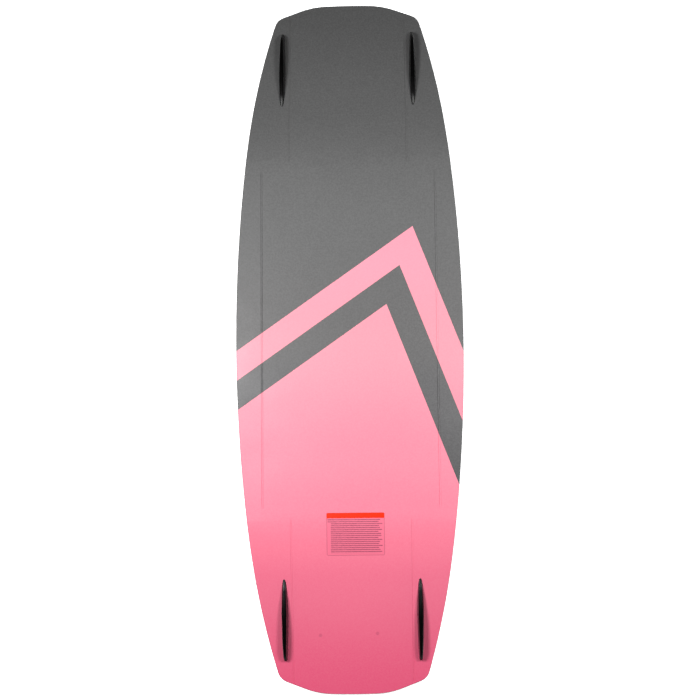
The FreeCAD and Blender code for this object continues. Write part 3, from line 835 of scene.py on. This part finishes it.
def label_film(art: Artwork, low: Vector, high: Vector) -> Finish:
    """Clear film with its print; the board's own colour shows through it."""
    finish = Finish("label_film", {"Specular IOR Level": 0.1})
    finish.paint(LabelPrint(low, high).draw(finish, art.draw(finish)))
    finish.roughness(0.3, 0.4, 30.0)
    finish.bump(finish.grain(2.5, 2.0), 0.015, 0.4)
    return finish


# ---- Sub-assemblies ------------------------------------------------------------

def fit(piece: Piece, finish: Finish, slot: str, *nodes: str) -> None:
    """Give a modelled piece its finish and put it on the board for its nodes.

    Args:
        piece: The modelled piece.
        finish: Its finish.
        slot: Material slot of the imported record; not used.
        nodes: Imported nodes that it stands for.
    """
    piece.data.materials.clear()
    piece.data.materials.append(finish.material)
    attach(piece, "root")
    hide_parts(*nodes)
    log.info("%s: %d faces for %s", piece.name, len(piece.data.polygons), ", ".join(nodes))


def dress(finish: Finish, *nodes: str) -> None:
    """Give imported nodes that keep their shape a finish."""
    for node in nodes:
        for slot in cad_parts[node].material_slots:
            slot.material = finish.material
        log.info("%s: %s", node, finish.name)


@dataclass
class BaseSheet:
    """Printed base sheet with its rounded rim and its moulded grooves.

    A groove's line, start and end are distances from the middle of the board.

    Attributes:
        marks: Places of the faint round marks, across and along.
        face_lean: Least upward lean of a printed face.
        rim_crossing: Distance from the tips within which the rim may cross a chine's line.
    """

    plan: Plan
    form: BaseForm
    art: Artwork
    thickness: float = 1.6 * MM
    rim_round: float = 1.1 * MM
    groove_radius: float = 2.67 * MM
    groove_depth: float = 0.9 * MM
    groove_fade: float = 16 * MM
    chine_groove_end: float = 332 * MM
    tip_groove_line: float = 113 * MM
    tip_groove_start: float = 329 * MM
    tip_groove_depth: float = 0.8 * MM
    marks: tuple = ((-61 * MM, -558 * MM), (46 * MM, -555 * MM))
    face_lean: float = 0.93
    rim_crossing: float = 131.1 * MM

    def build(self) -> None:
        """Model the sheet and fit it to the board."""
        sheet = self.form.sheet("printed_base_sheet", 0.0, self.thickness)
        carve(sheet, self.plan.prism("outline"), Carve.KEEP_INSIDE)
        self.round_rim(sheet)
        carve(sheet, self.chine_groove_tool(), Carve.CUT_AWAY)
        carve(sheet, self.tip_groove_tool(), Carve.CUT_AWAY)
        smooth(sheet)
        marks = [Vector((x, y, self.form.height(x, y))) for x, y in self.marks]
        fit(sheet, printed_polyester(self.art, marks), "base_sheet", "base_sheet")
        self.dull_and_shade_rim(sheet)

    def dull_and_shade_rim(self, sheet: Piece) -> None:
        """Give the trimmed and rounded rim its own duller finish, darkened with painted shade."""
        sheet.data.materials.append(shaded_trimmed_edge(self.art).material)
        open_up(sheet)
        inner = self.plan.half_length - self.rim_crossing

        def near(x: float, line: float) -> bool:
            return abs(abs(x) - line) < 4 * MM

        def trimmed(face: bmesh.types.BMFace) -> bool:
            if face.normal.z > self.face_lean:
                return False
            middle = face.calc_center_median()
            on_chine_groove = near(middle.x, self.form.chine_line) and abs(middle.y) < inner
            on_tip_groove = near(middle.x, self.tip_groove_line) and face.normal.z > 0.5
            return not on_chine_groove and not on_tip_groove

        # These rim faces take the finish darkened with painted shade.
        pick("FACE", trimmed)
        sheet.active_material_index = 1
        bpy.ops.object.material_slot_assign()
        put_down()

    def round_rim(self, sheet: Piece) -> None:
        """Round the edge between the base and the board's side."""
        open_up(sheet)

        def on_rim(edge: bmesh.types.BMEdge) -> bool:
            leans = sorted(face.normal.z for face in edge.link_faces)
            return len(leans) == 2 and abs(leans[0]) < 0.3 and leans[1] > 0.9

        pick("EDGE", on_rim)
        bpy.ops.mesh.bevel(offset=self.rim_round, segments=4, affect="EDGES", clamp_overlap=False)
        put_down()

    def ring(self, name: str, line: float, y: float, lean: float, depth: float) -> Piece:
        """Upright ring of a groove's round section over a line along the board."""
        over = self.groove_radius - depth
        level = self.form.rocker.height(y)
        middle = Vector((line, y + over * math.sin(lean), level + over * math.cos(lean)))
        return start(name, bpy.ops.mesh.primitive_circle_add, vertices=24, radius=self.groove_radius,
                     location=middle, rotation=(math.pi / 2 - lean, 0.0, 0.0))

    def fade_out(self, lean: float, outward: int, depth: float) -> None:
        """Run the selected ring on and up until it leaves the base, and close it."""
        ahead = Vector((0.0, math.cos(lean), -math.sin(lean))) * outward * self.groove_fade
        extrude(ahead + UP * depth * 1.05)
        bpy.ops.mesh.edge_face_add()

    def chine_groove_tool(self) -> Piece:
        """Round bars along both chines, which fade out where the rocker starts."""
        tool = self.ring("chine_grooves", self.form.chine_line, 0.0, 0.0, self.groove_depth)
        extrude(Vector((0.0, self.chine_groove_end - self.groove_fade, 0.0)))
        self.fade_out(0.0, 1, self.groove_depth)
        return self.finish_tool(tool)

    def tip_groove_tool(self) -> Piece:
        """Round bars near the fins, which fade in, follow the bend and run off the tips."""
        rocker = self.form.rocker
        bend_end = rocker.flat_half + rocker.bend_run
        depth = self.tip_groove_depth
        tool = self.ring("tip_grooves", self.tip_groove_line, bend_end, rocker.slope, depth)
        axis = Vector((0.0, rocker.flat_half, rocker.level - rocker.bend_radius))
        full_depth = self.tip_groove_start + self.groove_fade
        inner = math.asin((full_depth - rocker.flat_half) / rocker.bend_radius)
        spin(20, rocker.slope - inner, axis, Vector((1.0, 0.0, 0.0)))
        self.fade_out(inner, -1, depth)
        pick("VERT", lambda point: point.co.y > bend_end - 1.5 * MM)
        run = self.plan.half_length - bend_end
        extrude(Vector((0.0, run, -run * math.tan(rocker.slope))))
        bpy.ops.mesh.edge_face_add()
        return self.finish_tool(tool)

    @staticmethod
    def finish_tool(tool: Piece) -> Piece:
        """Turn the tool's faces outwards and repeat it at the other side and end."""
        tidy_normals()
        put_down()
        mirror(tool, across=True, along=True)
        return tool


@dataclass
class Rail:
    """Cast rail round the core: one ring with a softly rounded bevel along the deck's rim."""

    plan: Plan
    form: BaseForm
    deck: Rocker
    width: float = 14 * MM
    bevel: float = 8 * MM
    bevel_steps: int = 8

    def build(self) -> None:
        """Model the rail and fit it in place of the four packed sidewalls."""
        section = self.section()
        rail = join([self.band(*ends) for ends in zip(section, section[1:] + section[:1])])
        rail.name = rail.data.name = "cast_rail"
        open_up(rail)
        tidy_normals()
        smooth(rail)
        fit(rail, cast_urethane(), "sidewall",
            "left_sidewall", "right_sidewall", "nose_sidewall", "tail_sidewall")

    def section(self) -> list[tuple[float, Callable[[float, float], float]]]:
        """Corners of the rail's section: inset, and height at a place of the plan."""
        def under_base(x: float, y: float) -> float:
            return self.form.height(x, y) - BASE_SHEETS

        def over_deck(rise: float) -> Callable[[float, float], float]:
            return lambda _x, y: self.deck.height(y) + rise

        corners = [(0.0, under_base)]
        for step in range(self.bevel_steps + 1):
            share = step / self.bevel_steps
            turn = share * math.pi / 2
            # Half way between a flat bevel and a full quarter round.
            inset = (share + 1 - math.cos(turn)) / 2
            rise = (1 - share + 1 - math.sin(turn)) / 2
            corners.append((self.bevel * inset, over_deck(self.bevel * rise)))
        seat = over_deck(DECK_SHEETS)
        return corners + [(self.bevel, seat), (self.width, seat), (self.width, under_base)]

    def band(self, first: tuple, second: tuple) -> Piece:
        """Strip of the rail's surface between two corners of its section."""
        wires = []
        for inset, height in (first, second):
            wire = self.plan.wire("rail_band", inset)
            for point in bmesh.from_edit_mesh(wire.data).verts:
                point.co.z = height(point.co.x, point.co.y)
            wires.append(wire)
        band = join(wires)
        open_up(band)
        select_all()
        bpy.ops.mesh.bridge_edge_loops()
        put_down()
        return band


@dataclass
class LongFin:
    """Moulded fin: a long leaf that rises to a crest near the board's end.

    Attributes:
        line: Distance from the centre line to a fin.
        centre: Distance from the middle of the board to the middle of a fin.
        belly: Distance from the toe to the widest place.
        toe_power: How bluntly the toe widens; less is blunter.
        peak: Place of the crest, from the fin's middle towards its heel.
        draft: Lean of its sides.
    """

    form: BaseForm
    line: float
    centre: float
    half_length: float = 78.5 * MM
    belly: float = 62 * MM
    belly_half: float = 6.4 * MM
    heel_half: float = 3.3 * MM
    toe_power: float = 0.3
    height: float = 30 * MM
    peak: float = 44 * MM
    draft: float = math.radians(3.0)

    def half_width(self, y: float) -> float:
        """Half of the fin's width at its foot, at a place along it."""
        past_toe = y + self.half_length
        if past_toe < self.belly:
            return self.belly_half * max(past_toe / self.belly, 0.0001) ** self.toe_power
        share = (past_toe - self.belly) / (2 * self.half_length - self.belly)
        plain = self.belly_half - (self.belly_half - self.heel_half) * share ** 1.8
        rounding = max(1 - (self.half_length - y) / self.heel_half, 0.0)
        return plain * math.sqrt(max(1 - rounding ** 2, 0.003))

    def crest(self, y: float) -> float:
        """Height of the fin at a place along it."""
        run = self.half_length + math.copysign(self.peak, self.peak - y)
        radius = (run ** 2 + self.height ** 2) / (2 * self.height)
        return math.sqrt(radius ** 2 - (y - self.peak) ** 2) - radius + self.height

    def stations(self, outward: int) -> list[float]:
        """Places of the sections from the crest to one end, closer together near it."""
        run = self.half_length - outward * self.peak
        count = 18 if outward > 0 else 34
        return [
            self.peak + outward * run * math.sin(number / count * math.pi / 2)
            for number in range(1, count)
        ] + [self.peak + outward * (run - 0.15 * MM)]

    def model(self) -> Piece:
        """Model one fin standing at the origin, its toe towards the board's middle."""
        foot = self.half_width(self.peak)
        round_top = foot - self.height * math.tan(self.draft)
        shoulder = self.height - round_top
        fin = start_point("long_fin", Vector((foot, self.peak, 0.0)))
        steps = 4
        lean = Vector(((round_top - foot) / steps, 0.0, shoulder / steps))
        for _ in range(steps):
            bpy.ops.mesh.extrude_vertices_move(TRANSFORM_OT_translate={"value": lean})
        spin(8, math.pi / 2, Vector((0.0, self.peak, shoulder)), Vector((0.0, -1.0, 0.0)))
        put_down()
        mirror(fin, across=True, along=False)
        for outward in (1, -1):
            self.run_out(fin, outward)
        open_up(fin)
        tidy_normals()
        pick("EDGE", lambda edge: edge.is_boundary)
        bpy.ops.mesh.edge_face_add()
        tidy_normals()
        put_down()
        return fin

    def run_out(self, fin: Piece, outward: int) -> None:
        """Carry the crest's section out to one end, narrower and lower each time."""
        open_up(fin)
        pick("EDGE", lambda edge: all(abs(point.co.y - self.peak) < 0.01 * MM for point in edge.verts))
        last = self.peak
        for place in self.stations(outward):
            extrude(Vector((0.0, place - last, 0.0)))
            narrower = self.half_width(place) / self.half_width(last)
            lower = max(self.crest(place), 0.1 * MM) / max(self.crest(last), 0.1 * MM)
            bpy.ops.transform.resize(value=(narrower, 1.0, lower), center_override=(0.0, place, 0.0))
            last = place
        put_down()

    def build(self) -> None:
        """Model one fin and set a copy of it at each corner of the base."""
        first = self.model()
        smooth(first, 40.0, weighted=False)
        finish = moulded_nylon(self.centre - self.half_length)
        for end in End:
            for side in Side:
                name = f"{end.name}_{side.name}".lower()
                fin = first.copy()
                fin.data = first.data.copy()
                fin.name = f"{name}_long_fin"
                fin.data.name = fin.name
                bpy.context.scene.collection.objects.link(fin)
                take_up(fin)
                fin.rotation_euler = (-self.form.rocker.slope, 0.0, 0.0 if end is End.NOSE else math.pi)
                fin.location = (side.value * self.line, end.value * self.centre,
                                self.form.rocker.height(self.centre))
                bpy.ops.object.transform_apply(location=True, rotation=True, scale=False)
                fit(fin, finish, "fin", f"{name}_fin")
        bpy.data.objects.remove(first)


@dataclass
class InfoLabel:
    """Thin printed film with rounded corners on the base near the tail."""

    form: BaseForm
    art: Artwork
    film: float = 0.2 * MM
    corner: float = 2.5 * MM

    def build(self) -> None:
        """Model the film and fit it to the base."""
        low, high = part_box("info_label")
        label = self.form.sheet("clear_label", self.film, self.film)
        carve(label, self.patch(low, high), Carve.KEEP_INSIDE)
        smooth(label)
        fit(label, label_film(self.art, low, high), "label", "info_label")

    def patch(self, low: Vector, high: Vector) -> Piece:
        """Upright block with the label's outline."""
        middle = ((low.x + high.x) / 2, (low.y + high.y) / 2, 0.0)
        patch = start("label_patch", bpy.ops.mesh.primitive_plane_add, size=1.0, location=middle)
        bpy.ops.transform.resize(value=(high.x - low.x, high.y - low.y, 1.0), center_override=middle)
        bpy.ops.mesh.bevel(offset=self.corner, segments=5, affect="VERTICES")
        select_all()
        extrude(UP * 150 * MM)
        tidy_normals()
        put_down()
        return patch


@dataclass
class Studio:
    """Plain pale floor, soft light and the camera that looks down on the base.

    Attributes:
        floor_glow: Strength of the floor's own light, which leaves no shadow round the board.
        lamps: Name, place and power of each soft box.
    """

    floor_size: float = 30.0
    floor_glow: float = 0.75
    lamps: tuple = (
        ("left_soft_box", (-0.7, 0.05, 2.05), 50.0),
        ("right_soft_box", (0.75, 0.05, 2.1), 34.0),
    )
    lamp_size: float = 0.42
    camera_place: tuple = (0.0638, -0.2845, 2.557)
    camera_turn: tuple = (5.958, 1.519, -0.585)
    lens: float = 68.06

    def build(self) -> None:
        """Set up the floor, the lights and the camera."""
        self.lay_floor()
        self.light()
        self.aim()

    def lay_floor(self) -> None:
        """Lay a wide pale floor under the board."""
        floor = start("floor", bpy.ops.mesh.primitive_plane_add, size=self.floor_size)
        put_down()
        finish = Finish("pale_floor", {
            "Specular IOR Level": 0.1, "Roughness": 0.9,
            "Emission Color": colour("#FFFFFF"), "Emission Strength": self.floor_glow,
        })
        finish.tint(finish.grain(400.0), "#F6F6F6", "#F9F9F9")
        floor.data.materials.append(finish.material)

    def light(self) -> None:
        """Light the board with two soft boxes in a room with pale walls and a dark ceiling."""
        world = bpy.data.worlds.new("pale_room")
        bpy.context.scene.world = world
        world.use_nodes = True
        tree = world.node_tree
        room = tree.nodes["Background"]
        room.inputs["Color"].default_value = colour("#F4F4F5")
        # The dark ceiling keeps the black fins black as seen from above.
        turn = tree.nodes.new("ShaderNodeTexCoord")
        split = tree.nodes.new("ShaderNodeSeparateXYZ")
        level = tree.nodes.new("ShaderNodeMapRange")
        tree.links.new(turn.outputs["Generated"], split.inputs[0])
        tree.links.new(split.outputs["Z"], level.inputs["Value"])
        level.interpolation_type = "SMOOTHSTEP"
        for key, value in (("From Min", 0.1), ("From Max", 0.45), ("To Min", 1.0), ("To Max", 0.06)):
            level.inputs[key].default_value = value
        tree.links.new(level.outputs[0], room.inputs["Strength"])
        for name, place, power in self.lamps:
            lamp = bpy.data.lights.new(name, "AREA")
            lamp.shape = "SQUARE"
            lamp.size = self.lamp_size
            lamp.energy = power
            holder = bpy.data.objects.new(name, lamp)
            holder.location = place
            holder.rotation_euler = (-Vector(place)).to_track_quat("-Z", "Y").to_euler()
            bpy.context.scene.collection.objects.link(holder)

    def aim(self) -> None:
        """Place the camera above the board, a little towards its tail."""
        camera = bpy.data.cameras.new("camera")
        camera.lens = self.lens
        camera.sensor_width = 36.0
        holder = bpy.data.objects.new("camera", camera)
        holder.location = self.camera_place
        holder.rotation_euler = tuple(math.radians(turn) for turn in self.camera_turn)
        bpy.context.scene.collection.objects.link(holder)
        bpy.context.scene.camera = holder
        bpy.context.scene.view_settings.view_transform = "Standard"


def main() -> None:
    """Build the board's pieces in order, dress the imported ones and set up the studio."""
    logging.basicConfig(level=logging.INFO, format="%(name)s: %(message)s")
    half_width, half_length = CAD_BOX[1].x, CAD_BOX[1].y
    base_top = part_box("base_sheet")[1].z
    deck_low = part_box("nose_insert_plate")[0].z - DECK_SHEETS
    rest_line = half_length - REST_INSET
    plan = Plan(half_length, half_width)
    width = 2 * half_width + SPARE_WIDTH
    rocker = Rocker(base_top, base_top - TIP_THICKNESS, width, rest_line)
    base = BaseForm(rocker, half_width - CHINE_INSET)
    deck = Rocker(deck_low, deck_low, width, rest_line)
    art = Artwork(half_length)
    BaseSheet(plan, base, art).build()
    Rail(plan, base, deck).build()
    LongFin(base, half_width - FIN_INSET, half_length - FIN_SETBACK).build()
    InfoLabel(base, art).build()
    dress(deck_film(), "top_sheet")
    dress(glass_laminate(), "base_laminate", "deck_laminate")
    dress(closed_cell_foam(), "foam_core")
    dress(fibre_board(), "nose_insert_plate", "tail_insert_plate")
    dress(metal("turned_brass", "#B08C4A", "#D9BC78", 0.22, 0.36),
          "nose_binding_inserts", "tail_binding_inserts", "fin_inserts")
    dress(metal("stainless_steel", "#A9ABAE", "#D3D5D7", 0.2, 0.34), "fin_bolts", "fin_bolt_washers")
    dress(metal("turned_aluminium", "#B4B7BB", "#DADCDF", 0.3, 0.42), "fin_bolt_sleeves")
    Studio().build()


if __name__ == "__main__":
    main()
